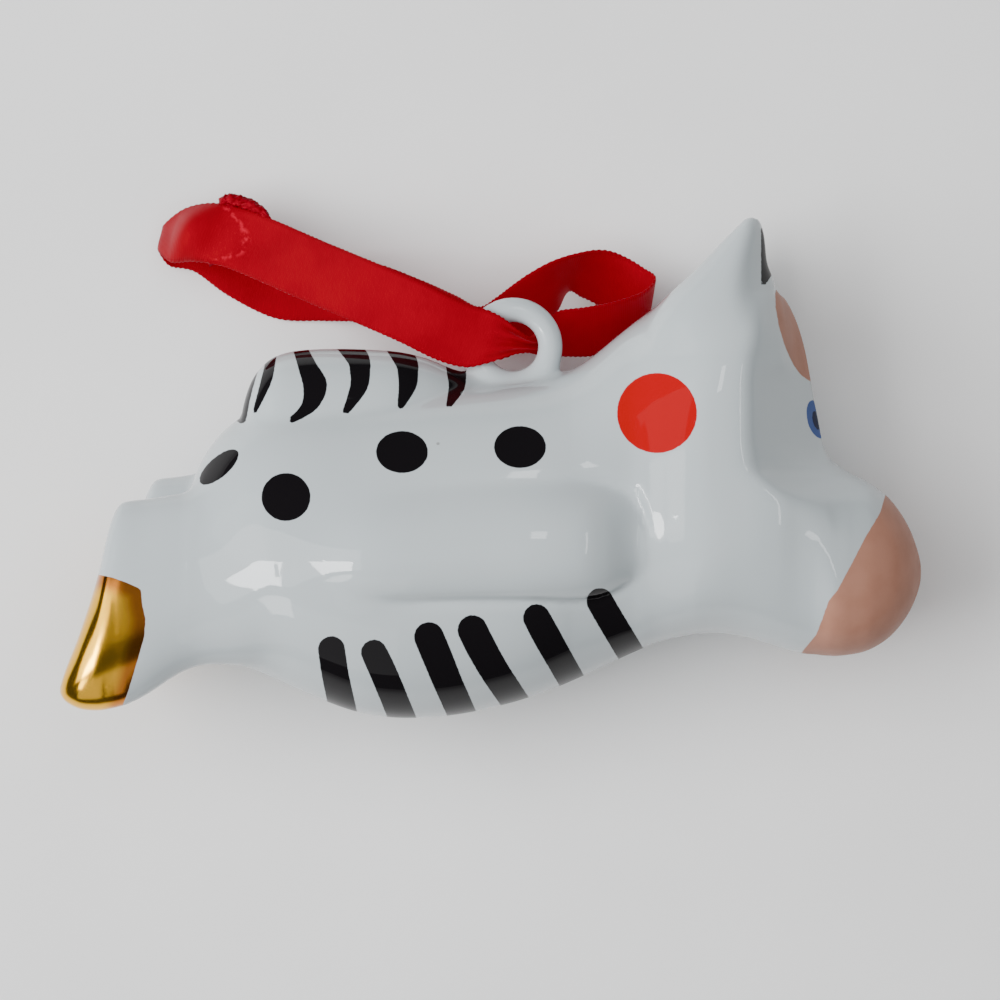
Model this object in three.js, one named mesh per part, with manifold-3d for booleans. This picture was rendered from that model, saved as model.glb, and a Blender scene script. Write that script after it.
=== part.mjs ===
// A small hollow porcelain animal ornament that lies on its left flank, with the satin ribbon
// loop it hangs by. Millimetres, +X towards the head, +Y towards the back, +Z up.
import * as THREE from 'three';
import { mergeVertices } from 'three/addons/utils/BufferGeometryUtils.js';
import Module from 'manifold-3d';

// Casting: its wall, the gap at each luted seam, the station of the neck seam and the depth
// of the flats that the ornament lies on
const WALL = 2.4;
const SEAM_GAP = 0.3;
const NECK_X = 10;
const REST_FLAT = 0.6;

// Squareness of the sections (2 is an ellipse). Head sections are squarer than the others:
// each row of their table is a station and the squareness there
const SECTION_POWER = 2.2;
const HEAD_POWERS = [
  [8, 2.2],
  [20, 2.7],
  [37, 2.7],
  [43, 2.3],
];

// Small vent through the left flank, hidden when the ornament lies as modelled
const VENT_DIAMETER = 3;
const VENT_X = -21;
const VENT_Y = -3;

// Hanger ring, its axis square to the midplane and its foot sunk in the back
const RING_X = 2.35;
const RING_OUTER_DIAMETER = 9.8;
const RING_WIRE_DIAMETER = 2.44;
const RING_SINK = 1.1;

// Soft ridge between cheek and face: how far it reaches back along the cheek, and its fall there
const RIDGE_LENGTH = 2.4;
const RIDGE_FALL = 1.9;

// How far a foreleg stands out of the flank, and the gaps between the paired ears and hind legs
const FORELEG_PROUD = 1.8;
const EAR_GAP = 4.8;
const HIND_LEG_GAP = 0.8;

// The left hind leg is carried a little forwards and upwards of the right one
const LEFT_HIND_LEG_FORWARD = 2.4;
const LEFT_HIND_LEG_UP = 2.3;

// Ribbon: its thickness, and its lapped ends: the row of the route that they start at,
// the width of the lap and how far it stands past the ribbon's edge
const RIBBON_THICKNESS = 0.4;
const JOIN_ROW = 6;
const JOIN_WIDTH = 5;
const JOIN_OVERHANG = 1.1;

// Number of sides round a section, and of steps between two rows of a table
const BODY_SIDES = 28;
const SMALL_SIDES = 16;
const CAVITY_SIDES = 16;
const CAVITY_STEPS = 1;
const STEPS = 2;
const FACE_STEPS = 4;
const RING_STEPS = 28;
const WIRE_SIDES = 10;

// Side outline of torso and head, from the rump to the muzzle.
// Each row: x, height of the back, height of the belly, half width
const BODY_ROWS = [
  [-31.2, -9.25, -14.25, 0.6],
  [-30.7, -5.45, -17.25, 3.8],
  [-29.5, -1.0, -19.05, 6.2],
  [-27.5, 2.75, -19.35, 8.0],
  [-25.0, 5.1, -19.65, 9.6],
  [-22.0, 6.2, -20.85, 10.8],
  [-18.0, 6.75, -22.65, 11.7],
  [-13.0, 7.15, -24.55, 12.2],
  [-8.0, 7.55, -25.05, 12.4],
  [-3.0, 7.95, -24.65, 12.4],
  [2.0, 8.25, -23.55, 12.3],
  [6.0, 8.75, -22.25, 12.0],
  [9.0, 10.15, -20.95, 11.3],
  [13.0, 13.35, -19.05, 10.7],
  [15.0, 14.9, -18.15, 10.9],
  [17.0, 16.25, -17.35, 12.8],
  [21.0, 18.05, -16.55, 13.75],
  [24.5, 18.85, -16.75, 13.85],
  [27.5, 18.65, -17.55, 13.3],
  [29.7, 16.45, -18.25, 12.5],
  [31.2, 12.55, -18.55, 12.0],
  [32.4, 6.25, -18.65, 11.6],
  [33.4, 1.75, -18.75, 11.3],
  [35.0, -0.05, -18.75, 10.8],
  [37.5, -1.35, -18.25, 9.8],
  [39.8, -3.15, -16.85, 8.2],
  [41.6, -5.75, -14.65, 5.9],
  [42.7, -8.55, -12.25, 2.8],
  [43.0, -10.05, -10.65, 0.5],
];

// Slanting face, cut off both sides of the head from under the chin to above the brow.
// Each row: y, x of the ridge beside the cheek, x of the front outline, half width left there
const FACE_ROWS = [
  [-30.0, 50.0, 60.0, 12.0],
  [-14.0, 40.4, 46.0, 10.0],
  [-10.0, 36.3, 43.5, 9.8],
  [-5.75, 31.9, 41.8, 9.8],
  [-3.15, 29.3, 40.0, 9.3],
  [-1.35, 27.5, 37.7, 6.3],
  [-0.05, 26.4, 35.3, 3.5],
  [1.75, 25.8, 33.7, 1.6],
  [6.25, 25.6, 32.7, 0.4],
  [12.55, 25.6, 31.5, 0.4],
  [16.45, 25.6, 30.0, 0.4],
  [18.65, 25.6, 28.2, 0.4],
  [30.0, 25.6, 28.2, 0.4],
];

// Crest along the back. Each row: x, ridge height, buried lower edge, half width
const CREST_ROWS = [
  [-24.9, 3.6, 1.0, 0.8],
  [-24.5, 6.6, 0.0, 3.2],
  [-23.4, 9.3, -0.8, 4.8],
  [-21.4, 11.1, -1.0, 5.9],
  [-18.5, 11.75, -1.0, 6.3],
  [-14.0, 11.85, -1.0, 6.3],
  [-9.5, 11.6, -0.5, 5.9],
  [-6.5, 10.95, 0.2, 5.0],
  [-4.0, 9.95, 1.2, 3.9],
  [-1.5, 8.9, 2.5, 2.5],
  [0.5, 7.8, 3.5, 1.0],
];

// Tucked foreleg on the flank. Each row: x, upper edge, lower edge, half thickness
const FORELEG_ROWS = [
  [-18.5, -9.2, -10.4, 0.5],
  [-16.8, -6.2, -12.6, 3.6],
  [-12.5, -4.0, -13.9, 5.1],
  [-6.0, -2.6, -14.2, 5.6],
  [0.0, -2.1, -14.0, 5.85],
  [6.0, -2.0, -13.6, 5.7],
  [10.0, -2.2, -13.2, 5.3],
  [13.0, -3.2, -12.0, 4.2],
  [15.0, -5.2, -10.0, 2.4],
  [15.9, -7.2, -8.2, 0.5],
];

// Hind leg, from its hoof to its buried root. Each row: x, upper edge, lower edge, half thickness
const HIND_LEG_ROWS = [
  [-42.35, -21.65, -22.35, 0.4],
  [-41.75, -19.85, -23.15, 1.7],
  [-40.35, -16.25, -23.85, 2.8],
  [-38.65, -10.95, -24.0, 3.5],
  [-37.55, -6.25, -23.85, 3.8],
  [-36.65, -3.95, -23.65, 3.9],
  [-35.4, -3.3, -23.25, 4.0],
  [-33.0, -3.05, -22.0, 4.1],
  [-29.7, -2.45, -19.6, 4.2],
  [-26.8, -2.5, -19.1, 3.8],
  [-24.4, -5.0, -16.8, 2.5],
  [-23.4, -9.0, -13.0, 0.6],
];

// Ear, from its buried root to its tip. Each row: y, front edge x, back edge x, half thickness
const EAR_ROWS = [
  [10.5, 28.0, 16.5, 3.0],
  [13.4, 28.4, 15.9, 4.6],
  [16.4, 27.9, 17.4, 4.3],
  [19.4, 27.3, 20.3, 3.4],
  [21.9, 27.15, 22.6, 2.4],
  [23.5, 26.85, 24.2, 1.6],
  [24.2, 26.5, 24.95, 0.9],
  [24.45, 26.1, 25.5, 0.4],
];

// Ribbon route, once round the loop from the ring's left side. Each row: middle x, y, z,
// then the heading and tilt of the line across the ribbon in degrees, and its width there
const LONG_LOOP_ROUTE = [
  [-1.3, 12.78, 15.45, 68, 0, 6.1],
  [-4.0, 13.55, 15.6, 66, 0, 6.3],
  [-7.95, 15.45, 15.4, 66, 0, 6.3],
  [-13.0, 17.7, 14.0, 67, 0, 6.3],
  [-18.1, 19.95, 11.4, 67, 0, 6.3],
  [-22.85, 22.15, 8.6, 66, 0, 6.3],
  [-26.35, 23.55, 6.9, 65, 0, 6.3],
  [-29.4, 24.15, 6.0, 69, 0, 6.4],
  [-32.0, 23.9, 4.9, 75, 0, 5.7],
  [-34.0, 23.8, 2.9, 79, 0, 2.6],
  [-32.8, 23.5, 1.1, 78, 0, 5.0],
  [-30.2, 22.8, 0.5, 74, 0, 6.1],
  [-26.2, 20.8, 0.5, 70, 0, 6.3],
  [-21.6, 18.7, 0.5, 77, 0, 6.3],
  [-17.15, 18.5, 0.9, 88, 0, 6.3],
  [-12.45, 18.15, 2.4, 84, 0, 6.3],
  [-7.75, 16.3, 4.6, 76, 0, 6.2],
  [-4.1, 14.95, 7.0, 84, 5, 5.6],
];
const SHORT_LOOP_ROUTE = [
  [-3.3, 14.6, 7.5, 88, 6, 5.6],
  [-0.5, 13.65, 8.8, 105, 15, 5.8],
  [2.2, 14.85, 9.0, 122, 25, 6.2],
  [5.3, 17.7, 7.6, 126, 43, 6.3],
  [8.3, 20.1, 5.6, 78, 55, 6.3],
  [10.6, 19.95, 4.6, 65, 36, 6.3],
  [12.7, 19.1, 4.0, 64, 30, 6.3],
  [14.8, 18.0, 3.9, 68, 32, 6.3],
  [16.35, 16.7, 4.8, 80, 40, 6.3],
  [15.5, 15.1, 6.4, 88, 44, 6.3],
  [12.75, 14.3, 7.8, 90, 42, 6.3],
  [10.2, 13.9, 9.0, 90, 40, 6.3],
  [7.45, 13.6, 10.2, 90, 40, 5.9],
  [5.9, 13.1, 11.2, 86, 22, 4.0],
  [4.6, 12.4, 12.6, 80, 5, 2.0],
  [3.8, 12.25, 13.8, 76, 0, 1.6],
  [2.3, 12.45, 14.9, 75, 0, 2.8],
  [0.5, 12.6, 15.3, 70, 0, 4.8],
  [-0.9, 12.72, 15.43, 68, 0, 5.9],
];

// Size of a room that surely holds the whole ornament
const ROOM = 200;

const wasm = await Module();
wasm.setup();

// Half the torso's width, and the height of the midplane when a foreleg lies on the table
const flank = thickest(BODY_ROWS.filter((row) => row[0] < NECK_X));
const midplane = flank + FORELEG_PROUD - REST_FLAT;

// Catmull-Rom blend of one column of a table between rows 1 and 2 of four neighbours
function blend(a, b, c, d, t) {
  const linear = c - a;
  const square = 2 * a - 5 * b + 4 * c - d;
  const cube = 3 * b - a - 3 * c + d;
  return b + 0.5 * t * (linear + t * (square + t * cube));
}

// Table with extra rows between its own, on a smooth curve through them
function smoothRows(rows, steps) {
  const last = rows.length - 1;
  const result = [];
  for (let i = 0; i < last; i += 1) {
    const near = [rows[Math.max(i - 1, 0)], rows[i], rows[i + 1], rows[Math.min(i + 2, last)]];
    for (let k = 0; k < steps; k += 1) {
      result.push(near[1].map((_, j) => blend(...near.map((row) => row[j]), k / steps)));
    }
  }
  result.push(rows[last]);
  return result;
}

// Height of the back at a station, read off the side outline
function backHeight(x) {
  const outline = smoothRows(BODY_ROWS, STEPS);
  const next = outline.findIndex((row) => row[0] > x);
  const before = outline[next - 1];
  const after = outline[next];
  return THREE.MathUtils.mapLinear(x, before[0], after[0], before[1], after[1]);
}

// Squareness of the body's section at a station
function bodyPower(x) {
  const next = HEAD_POWERS.findIndex((row) => row[0] > x);
  if (next < 0) return HEAD_POWERS.at(-1)[1];
  if (next === 0) return HEAD_POWERS[0][1];
  const before = HEAD_POWERS[next - 1];
  const after = HEAD_POWERS[next];
  return THREE.MathUtils.mapLinear(x, before[0], after[0], before[1], after[1]);
}

// Half the greatest width of a table of rows
function thickest(rows) {
  return Math.max(...rows.map((row) => row[3]));
}

// Closed geometry over rings of equal length, with a fan at each end
function skin(rings) {
  const count = rings[0].length;
  const positions = rings.flat(2);
  const faces = [];
  for (let i = 0; i + 1 < rings.length; i += 1) {
    for (let k = 0; k < count; k += 1) {
      const a = i * count + k;
      const b = i * count + ((k + 1) % count);
      faces.push(a, a + count, b, b, a + count, b + count);
    }
  }
  for (const [ring, first] of [[rings[0], 0], [rings.at(-1), (rings.length - 1) * count]]) {
    const middle = positions.length / 3;
    positions.push(...[0, 1, 2].map((j) => ring.reduce((sum, p) => sum + p[j], 0) / count));
    for (let k = 0; k < count; k += 1) {
      const pair = [first + k, first + ((k + 1) % count)];
      if (first > 0) pair.reverse();
      faces.push(middle, ...pair);
    }
  }
  const geometry = new THREE.BufferGeometry();
  geometry.setAttribute('position', new THREE.Float32BufferAttribute(positions, 3));
  geometry.setIndex(faces);
  return geometry;
}

// Signed volume of a geometry, negative where its faces point in
function volume(geometry) {
  const flat = geometry.index ? geometry.toNonIndexed() : geometry;
  const at = flat.attributes.position;
  const corner = [0, 1, 2].map(() => new THREE.Vector3());
  let sum = 0;
  for (let i = 0; i < at.count; i += 3) {
    corner.forEach((point, k) => point.fromBufferAttribute(at, i + k));
    sum += corner[0].dot(corner[1].clone().cross(corner[2])) / 6;
  }
  return sum;
}

// Solid for joining and cutting
function solid(geometry) {
  const bare = geometry.clone();
  bare.deleteAttribute('normal');
  bare.deleteAttribute('uv');
  const merged = mergeVertices(bare);
  const triVerts = Uint32Array.from(merged.index.array);
  if (volume(merged) < 0) triVerts.reverse();
  const vertProperties = Float32Array.from(merged.attributes.position.array);
  return new wasm.Manifold(new wasm.Mesh({ numProp: 3, vertProperties, triVerts }));
}

// Solid lofted along X (or Y) through a table of rows; grow pushes its skin outwards
function loft(rows, sides, middleZ, options = {}) {
  const { grow = 0, along = 'x', steps = STEPS, powerAt = () => SECTION_POWER } = options;
  const table = smoothRows(rows, steps);
  const start = table[0][0];
  const end = table.at(-1)[0];
  const stretch = (end - start + 2 * grow) / (end - start);
  const rings = table.map(([station, high, low, half]) => {
    const place = start - grow + (station - start) * stretch;
    const middle = (high + low) / 2;
    const reach = Math.abs(high - low) / 2 + grow;
    const share = 2 / powerAt(station);
    return Array.from({ length: sides }, (_, k) => {
      const angle = (2 * Math.PI * k) / sides;
      const up = Math.cos(angle);
      const out = Math.sin(angle);
      const across = middle + reach * Math.sign(up) * Math.abs(up) ** share;
      const z = middleZ + (half + grow) * Math.sign(out) * Math.abs(out) ** share;
      return along === 'x' ? [place, across, z] : [across, place, z];
    });
  });
  return solid(skin(rings));
}

// Room behind the slanting face, on both sides of the midplane; inset moves its faces inwards
function faceRoom(inset) {
  const cheek = thickest(BODY_ROWS);
  const rings = smoothRows(FACE_ROWS, FACE_STEPS).map(([y, ridge, front, left]) => {
    const fall = cheek - RIDGE_FALL - left;
    const span = front - ridge;
    const slant = Math.hypot(fall, span);
    const ridgeX = ridge - (inset * (slant - span)) / fall;
    const profile = [
      [-ROOM, cheek - inset],
      [ridgeX - RIDGE_LENGTH, cheek - inset],
      [ridgeX, cheek - RIDGE_FALL - inset],
      [front - (inset * slant) / fall, left],
    ];
    const mirrored = profile.map(([x, half]) => [x, -half]).reverse();
    return [...profile, ...mirrored].map(([x, half]) => [x, y, midplane + half]);
  });
  return solid(skin(rings));
}

// Box between two corners
function block(low, high) {
  const size = new THREE.Vector3().subVectors(high, low);
  const middle = new THREE.Vector3().addVectors(low, high).multiplyScalar(0.5);
  return solid(new THREE.BoxGeometry(size.x, size.y, size.z).translate(middle.x, middle.y, middle.z));
}

// Room behind the neck seam, ahead of it and under the table
const behindNeck = block(
  new THREE.Vector3(-ROOM, -ROOM, -ROOM),
  new THREE.Vector3(NECK_X - SEAM_GAP / 2, ROOM, ROOM),
);
const aheadOfNeck = block(
  new THREE.Vector3(NECK_X + SEAM_GAP / 2, -ROOM, -ROOM),
  new THREE.Vector3(ROOM, ROOM, ROOM),
);
const table = block(new THREE.Vector3(-ROOM, -ROOM, -ROOM), new THREE.Vector3(ROOM, ROOM, 0));

// Body with its slanting face, the room it takes up with its seams, and the hollow inside it
function bodyLoft(rows, sides, options) {
  return loft(rows, sides, midplane, { powerAt: bodyPower, ...options });
}
const bodyForm = bodyLoft(BODY_ROWS, BODY_SIDES).intersect(faceRoom(0));
const bodyRoom = bodyLoft(BODY_ROWS, BODY_SIDES, { grow: SEAM_GAP }).intersect(faceRoom(-SEAM_GAP));
const cavity = bodyLoft(BODY_ROWS.slice(2, -2), CAVITY_SIDES, { grow: -WALL, steps: CAVITY_STEPS })
  .intersect(faceRoom(WALL));

// Vent bored from below the left flank into the cavity
function ventBore() {
  const radius = VENT_DIAMETER / 2;
  const bore = new THREE.CylinderGeometry(radius, radius, midplane, SMALL_SIDES);
  return solid(bore.rotateX(Math.PI / 2).translate(VENT_X, VENT_Y, 0));
}

function torso() {
  return bodyForm.intersect(behindNeck).subtract(cavity).subtract(ventBore());
}

function head() {
  return bodyForm.intersect(aheadOfNeck).subtract(cavity).subtract(table);
}

function crest() {
  return loft(CREST_ROWS, SMALL_SIDES, midplane).subtract(bodyRoom);
}

// side is 1 for the right flank, which faces up, and -1 for the left one
function foreleg(side) {
  const spread = flank + FORELEG_PROUD - thickest(FORELEG_ROWS);
  const leg = loft(FORELEG_ROWS, SMALL_SIDES, midplane + side * spread);
  return leg.subtract(bodyRoom).subtract(table);
}

function ear(side) {
  const middle = midplane + side * (EAR_GAP / 2 + thickest(EAR_ROWS));
  return loft(EAR_ROWS, SMALL_SIDES, middle, { along: 'y' }).subtract(bodyRoom);
}

function hindLeg(side) {
  const forward = side < 0 ? LEFT_HIND_LEG_FORWARD : 0;
  const up = side < 0 ? LEFT_HIND_LEG_UP : 0;
  const rows = HIND_LEG_ROWS.map(([x, high, low, half]) => [x + forward, high + up, low + up, half]);
  const middle = midplane + side * (HIND_LEG_GAP / 2 + thickest(HIND_LEG_ROWS));
  return loft(rows, SMALL_SIDES, middle).subtract(bodyRoom);
}

function hangerRing() {
  const wire = RING_WIRE_DIAMETER / 2;
  const reach = RING_OUTER_DIAMETER / 2;
  const ring = new THREE.TorusGeometry(reach - wire, wire, WIRE_SIDES, RING_STEPS);
  const middle = backHeight(RING_X) + reach - RING_SINK;
  const placed = solid(ring.translate(RING_X, middle, midplane));
  const crestRoom = loft(CREST_ROWS, SMALL_SIDES, midplane, { grow: SEAM_GAP });
  return placed.subtract(bodyRoom).subtract(crestRoom);
}

// Unit line across the ribbon, from its heading and tilt in degrees
function acrossRibbon(heading, tilt) {
  const turn = THREE.MathUtils.degToRad(heading);
  const lean = THREE.MathUtils.degToRad(tilt);
  const level = Math.cos(lean);
  return new THREE.Vector3(Math.cos(turn) * level, Math.sin(turn) * level, Math.sin(lean));
}

// Flat band along a route, as rings of four corners
function band(route, thickness) {
  const table = smoothRows(route, STEPS);
  const rings = table.map(([x, y, z, heading, tilt, width], i) => {
    const before = table[Math.max(i - 1, 0)];
    const after = table[Math.min(i + 1, table.length - 1)];
    const way = new THREE.Vector3(after[0] - before[0], after[1] - before[1], after[2] - before[2]);
    const across = acrossRibbon(heading, tilt);
    const face = way.cross(across).normalize();
    const middle = new THREE.Vector3(x, y, z);
    return [[1, 1], [1, -1], [-1, -1], [-1, 1]].map(([side, skinSide]) => middle.clone()
      .addScaledVector(across, (side * width) / 2)
      .addScaledVector(face, (skinSide * thickness) / 2)
      .toArray());
  });
  return solid(skin(rings));
}

// Lapped cut ends: a patch inside the loop by the fold, past the ribbon's upper edge
function joinRoute() {
  return LONG_LOOP_ROUTE.slice(JOIN_ROW, JOIN_ROW + 2).map(([x, y, z, heading, tilt, width]) => {
    const shift = (width - JOIN_WIDTH) / 2 + JOIN_OVERHANG;
    const middle = new THREE.Vector3(x, y, z - RIBBON_THICKNESS - SEAM_GAP);
    middle.addScaledVector(acrossRibbon(heading, tilt), shift);
    return [...middle.toArray(), heading, tilt, JOIN_WIDTH];
  });
}

const porcelain = { color: 0xe6eaef, roughness: 0.12, metalness: 0 };
const satin = { color: 0xa4000f, roughness: 0.45, metalness: 0 };

const figure = new THREE.Group();
const hanger = new THREE.Group();

// Adds a solid to a group as a named mesh
function place(group, name, body, finish) {
  const { numProp, vertProperties, triVerts } = body.getMesh();
  const geometry = new THREE.BufferGeometry();
  geometry.setAttribute('position', new THREE.Float32BufferAttribute(vertProperties, numProp));
  geometry.setIndex(Array.from(triVerts));
  geometry.computeVertexNormals();
  const mesh = new THREE.Mesh(geometry, new THREE.MeshStandardMaterial(finish));
  mesh.name = name;
  group.add(mesh);
}

place(figure, 'torso', torso(), porcelain);
place(figure, 'head', head(), porcelain);
place(figure, 'back_crest', crest(), porcelain);
place(figure, 'hanger_ring', hangerRing(), porcelain);
for (const [name, side] of [['right', 1], ['left', -1]]) {
  place(figure, `ear_${name}`, ear(side), porcelain);
  place(figure, `foreleg_${name}`, foreleg(side), porcelain);
  place(figure, `hind_leg_${name}`, hindLeg(side), porcelain);
}
place(hanger, 'ribbon_long_loop', band(LONG_LOOP_ROUTE, RIBBON_THICKNESS), satin);
place(hanger, 'ribbon_short_loop', band(SHORT_LOOP_ROUTE, RIBBON_THICKNESS), satin);
place(hanger, 'ribbon_join', band(joinRoute(), RIBBON_THICKNESS), satin);

// Origin on the table, under the middle of the porcelain
const middle = new THREE.Box3().setFromObject(figure).getCenter(new THREE.Vector3());
const ornament = new THREE.Group();
ornament.add(figure, hanger);
ornament.position.set(-middle.x, -middle.y, 0);

export default ornament;
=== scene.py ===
# %% [markdown]
# # A glazed porcelain ornament on a satin ribbon
# The ornament is a small hollow porcelain animal that lies on its flank. Its castings were joined
# with slip and covered by one coat of glaze, so from outside it is a single smooth skin. A red
# ribbon is looped through the ring on its back. The construction model gives the sizes; this
# lesson gives it its skin, its fired colours and its ribbon.

# %% Load the construction model
import bpy
import numpy as np
from mathutils import Matrix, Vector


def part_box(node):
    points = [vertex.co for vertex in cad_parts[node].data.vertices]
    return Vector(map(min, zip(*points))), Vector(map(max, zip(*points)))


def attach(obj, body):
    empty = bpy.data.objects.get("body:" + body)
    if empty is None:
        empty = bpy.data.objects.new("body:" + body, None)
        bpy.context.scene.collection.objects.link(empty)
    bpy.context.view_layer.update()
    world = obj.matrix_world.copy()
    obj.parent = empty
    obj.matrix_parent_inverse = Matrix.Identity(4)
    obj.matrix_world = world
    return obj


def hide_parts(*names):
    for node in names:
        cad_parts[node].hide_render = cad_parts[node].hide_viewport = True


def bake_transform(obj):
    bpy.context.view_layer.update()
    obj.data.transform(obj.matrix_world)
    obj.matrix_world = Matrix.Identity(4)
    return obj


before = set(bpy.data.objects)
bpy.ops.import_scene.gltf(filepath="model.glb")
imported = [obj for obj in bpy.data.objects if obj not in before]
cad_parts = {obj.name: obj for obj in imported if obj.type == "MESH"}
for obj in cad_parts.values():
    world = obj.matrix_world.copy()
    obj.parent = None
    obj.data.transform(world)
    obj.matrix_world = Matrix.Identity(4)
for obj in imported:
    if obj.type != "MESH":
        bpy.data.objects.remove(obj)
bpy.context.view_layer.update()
MM = 0.001

# %% [markdown]
# ## One set of measures
# The side outlines are drawn in millimetres from a point in the middle of the animal, with x
# towards the muzzle, y towards the back and z square to its midplane. The construction model
# stands on the table instead, so the two differ by one shift, which is read off its pieces: the
# muzzle's tip, the belly's lowest point and the axis of the hanger ring.

# %% Shift from the drawing to the table
MUZZLE_TIP = 43.0
BELLY_LOWEST = -25.05
ring_low, ring_high = (np.array(corner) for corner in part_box("hanger_ring"))
SHIFT = np.array([
    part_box("head")[1].x / MM - MUZZLE_TIP,
    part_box("torso")[0].y / MM - BELLY_LOWEST,
    (ring_low[2] + ring_high[2]) / 2 / MM,
])
print("drawing to table, mm:", SHIFT.round(3))


def to_table(points):
    """Points of the drawing, in millimetres, as points of the model in metres: shifted, then
    scaled."""
    return (np.asarray(points, float) + SHIFT) * MM


# %% [markdown]
# ## The camera
# The photograph looks straight down on the flank. A square picture 100 mm wide at the midplane,
# from about a third of a metre, gives the same slight perspective.

# %% Camera
VIEW_CENTRE = np.array([1.0, -3.25, 0.0])
VIEW_DISTANCE = 330.0
VIEW_WIDTH = 100.0
camera_data = bpy.data.cameras.new("overhead_camera")
camera_data.angle = 2 * np.arctan(VIEW_WIDTH / 2 / VIEW_DISTANCE)
camera = bpy.data.objects.new("overhead_camera", camera_data)
camera.location = to_table(VIEW_CENTRE + [0, 0, VIEW_DISTANCE])
bpy.context.scene.collection.objects.link(camera)
bpy.context.scene.camera = camera
print("camera at", [round(c, 4) for c in camera.location])

# %% [markdown]
# ## Smooth curves through a few rows
# Every form here is drawn as a short table of rows. A cubic between each two rows, with the slope
# at a row taken from its neighbours, passes through them all and is sampled finely, so a handful
# of listed rows gives a smooth curve.

# %% Helpers for curves and meshes


def curve_through(rows, steps, closed=False):
    """Rows on a smooth curve: between rows b and c of four neighbours a, b, c and d, the cubic
    b + t/2 ((c - a) + t ((2a - 5b + 4c - d) + t (3b - a - 3c + d))), at steps values of t."""
    rows = np.asarray(rows, float)
    if closed:
        padded = np.vstack([rows[-1:], rows, rows[:2]])
    else:
        padded = np.vstack([rows[:1], rows, rows[-1:]])
    a, b, c, d = (padded[i:len(padded) - 3 + i] for i in range(4))
    t = (np.arange(steps) / steps)[:, None, None]
    square, cube = 2 * a - 5 * b + 4 * c - d, 3 * b - a - 3 * c + d
    curve = b + 0.5 * t * ((c - a) + t * (square + t * cube))
    curve = curve.transpose(1, 0, 2).reshape(-1, rows.shape[1])
    return curve if closed else np.vstack([curve, rows[-1:]])


def smooth_step(low, high, value):
    """0 below low, 1 above high, and 3t^2 - 2t^3 between."""
    t = np.clip((value - low) / (high - low), 0, 1)
    return t * t * (3 - 2 * t)


def add_mesh(name, vertices, faces):
    """A mesh object from one array of points in metres and one array of faces, all with the same
    number of corners, smooth shaded and linked to the scene."""
    faces = np.asarray(faces, np.int32)
    count, corners = faces.shape
    mesh = bpy.data.meshes.new(name)
    mesh.vertices.add(len(vertices))
    mesh.vertices.foreach_set("co", np.asarray(vertices, np.float32).ravel())
    mesh.loops.add(count * corners)
    mesh.loops.foreach_set("vertex_index", faces.ravel())
    mesh.polygons.add(count)
    mesh.polygons.foreach_set("loop_start", np.arange(count, dtype=np.int32) * corners)
    mesh.polygons.foreach_set("use_smooth", np.ones(count, bool))
    mesh.update(calc_edges=True)
    mesh.validate()
    thing = bpy.data.objects.new(name, mesh)
    bpy.context.scene.collection.objects.link(thing)
    return thing


# %% [markdown]
# ## The ribbon
# Quarter-inch satin ribbon, sewn into one loop. It lies over the ring, runs to a fold on the
# left, comes back underneath, makes a short loop behind the neck and goes down through the ring,
# where it gathers into pleats. A flat band carried along its route gives all of that: each row
# of the route has the middle of the ribbon, the heading and tilt of the line across it, and the
# width that the ribbon takes there. A simulation would settle it some other way than pictured.

# %% Ribbon route
RIBBON_WIDTH = 6.3
RIBBON_THICKNESS = 0.3
LONG_LOOP_ROUTE = [
    [-1.3, 12.78, 15.45, 68, 0, 6.1],
    [-4.0, 13.55, 15.6, 66, 0, 6.3],
    [-7.95, 15.45, 15.4, 66, 0, 6.3],
    [-13.0, 17.7, 14.0, 67, 0, 6.3],
    [-18.1, 19.95, 11.4, 67, 0, 6.3],
    [-22.85, 22.15, 8.6, 66, 0, 6.3],
    [-26.35, 23.55, 6.9, 65, 0, 6.3],
    [-29.4, 24.15, 6.0, 69, 0, 6.4],
    [-32.0, 23.9, 4.9, 75, 0, 5.7],
    [-34.0, 23.8, 2.9, 79, 0, 2.6],
    [-32.8, 23.5, 1.1, 78, 0, 5.0],
    [-29.9, 23.4, 0.5, 74, 0, 6.1],
    [-26.1, 20.9, 0.5, 70, 0, 6.3],
    [-21.6, 18.7, 0.5, 77, 0, 6.3],
    [-17.15, 18.5, 0.9, 88, 0, 6.3],
    [-12.45, 18.15, 2.4, 84, 0, 6.3],
    [-7.75, 16.3, 4.6, 76, 0, 6.2],
    [-4.1, 14.95, 7.0, 84, 5, 5.6],
]
SHORT_LOOP_ROUTE = [
    [-3.3, 14.6, 7.5, 88, 6, 5.6],
    [-0.5, 13.65, 8.8, 105, 15, 5.8],
    [2.2, 14.85, 9.0, 122, 25, 6.2],
    [5.3, 17.7, 7.6, 126, 43, 6.3],
    [8.3, 20.1, 5.6, 78, 55, 6.3],
    [10.6, 19.95, 4.6, 65, 36, 6.3],
    [12.7, 19.1, 4.0, 64, 30, 6.3],
    [14.8, 18.0, 3.9, 68, 32, 6.3],
    [16.4, 17.1, 4.65, 80, 40, 6.3],
    [15.5, 15.68, 6.1, 88, 44, 6.3],
    [12.75, 14.45, 7.75, 90, 42, 6.3],
    [10.2, 13.9, 9.0, 90, 40, 6.3],
    [7.45, 13.6, 10.2, 90, 40, 5.9],
    [5.9, 13.1, 11.2, 86, 22, 4.0],
    [4.48, 12.42, 12.6, 80, 5, 2.0],
    [3.8, 12.25, 13.8, 76, 0, 1.6],
    [2.3, 12.45, 14.9, 75, 0, 2.8],
    [0.5, 12.6, 15.3, 70, 0, 4.8],
    [-0.9, 12.72, 15.43, 68, 0, 5.9],
]
ROUTE_STEPS = 24
loop_rows = LONG_LOOP_ROUTE + SHORT_LOOP_ROUTE[1:-1]
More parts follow.
